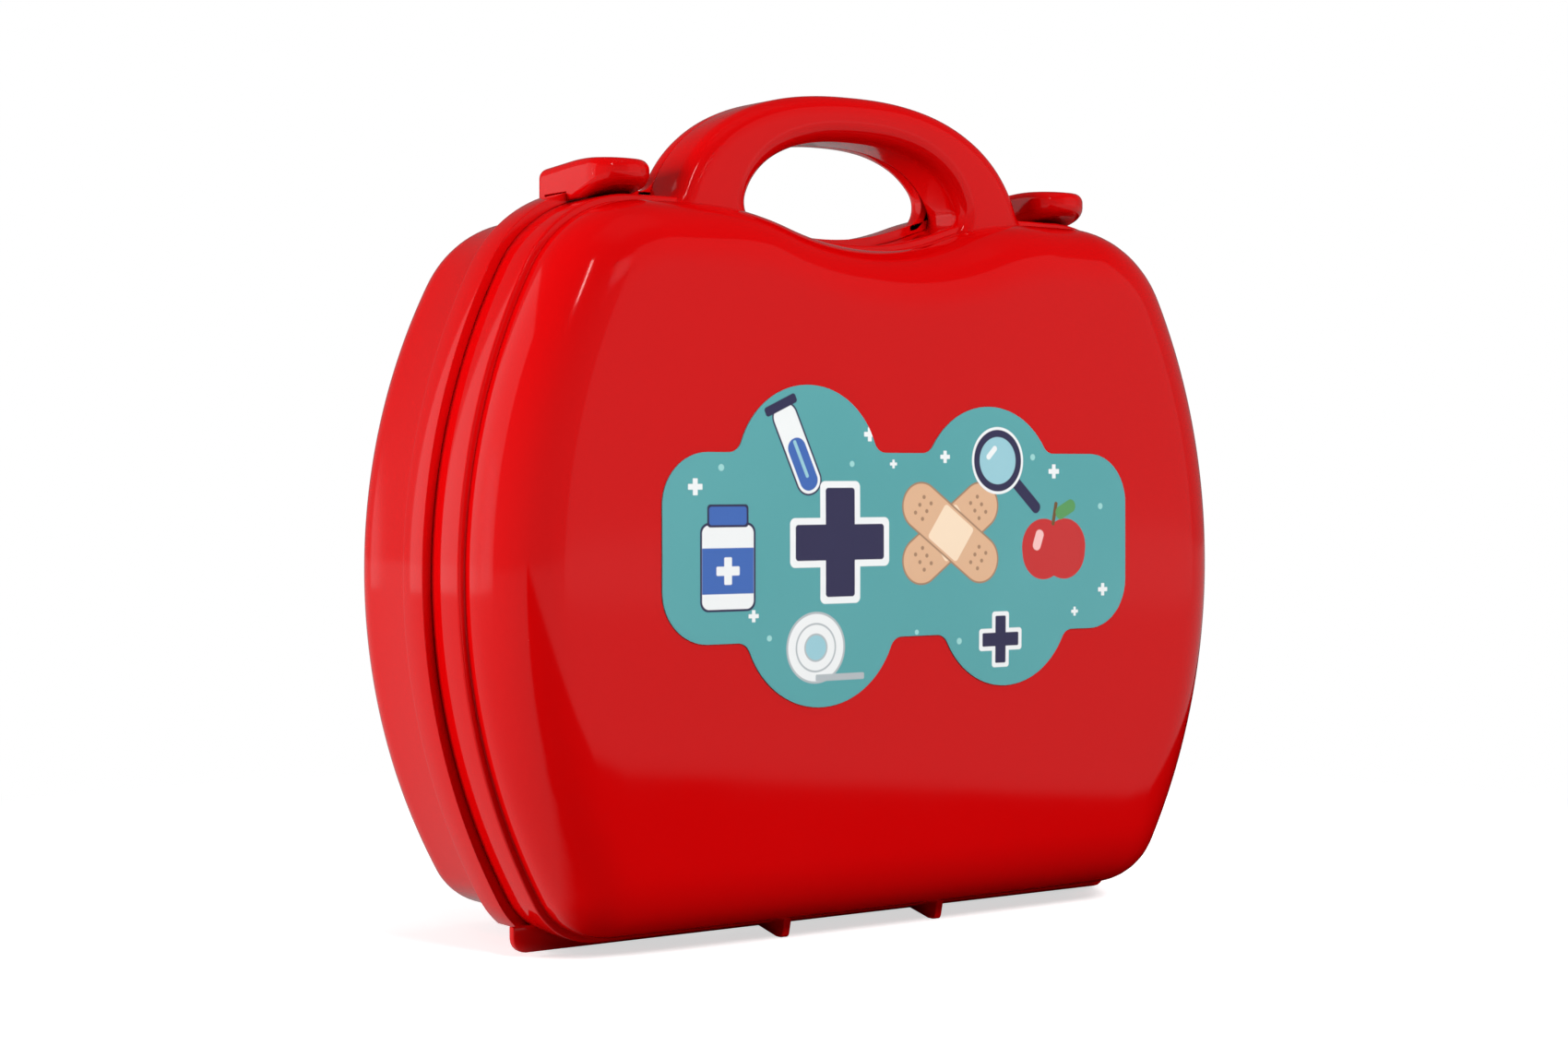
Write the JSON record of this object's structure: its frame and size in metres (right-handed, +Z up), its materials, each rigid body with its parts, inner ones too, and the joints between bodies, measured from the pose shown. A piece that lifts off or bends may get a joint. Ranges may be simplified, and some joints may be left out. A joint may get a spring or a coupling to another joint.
{
  "type": "toy doctor case",
  "caption": "Red glossy plastic toy doctor case with a moulded arched handle, flip latches on top and a teal die-cut label on the front.",
  "frame": {"origin": "on the surface the case stands on, midway across, straight below the axis of the lid hinge", "axes": "+X across the case to the right as seen from the front, +Y from the labelled front towards the rear, +Z up"},
  "size_m": [0.2576, 0.0971, 0.2328],
  "materials": {
    "case_red": "glossy moulded polypropylene",
    "latch_red": "glossy moulded polypropylene",
    "label_print": "satin printed self-adhesive film",
    "pin_steel": "plain drawn wire"
  },
  "bodies": {
    "rear_case": {"rear_shell": "case_red", "hinge_pin_left": "pin_steel", "hinge_pin_right": "pin_steel", "latch_pin_left": "pin_steel", "latch_pin_right": "pin_steel"},
    "front_case": {"front_shell": "case_red", "front_label": "label_print"},
    "latch_left_body": {"latch_left": "latch_red"},
    "latch_right_body": {"latch_right": "latch_red"}
  },
  "joints": [
    {"name": "lid_hinge", "type": "hinge", "parent": "rear_case", "child": "front_case", "pos_m": [0, 0, 0.003], "axis": [1, 0, 0], "range_deg": [0, 165]},
    {"name": "latch_left_hinge", "type": "hinge", "parent": "rear_case", "child": "latch_left_body", "pos_m": [-0.0764, 0.0067, 0.201], "axis": [-1, 0, 0], "range_deg": [0, 90]},
    {"name": "latch_right_hinge", "type": "hinge", "parent": "rear_case", "child": "latch_right_body", "pos_m": [0.0764, 0.0067, 0.201], "axis": [-1, 0, 0], "range_deg": [0, 90]}
  ]
}
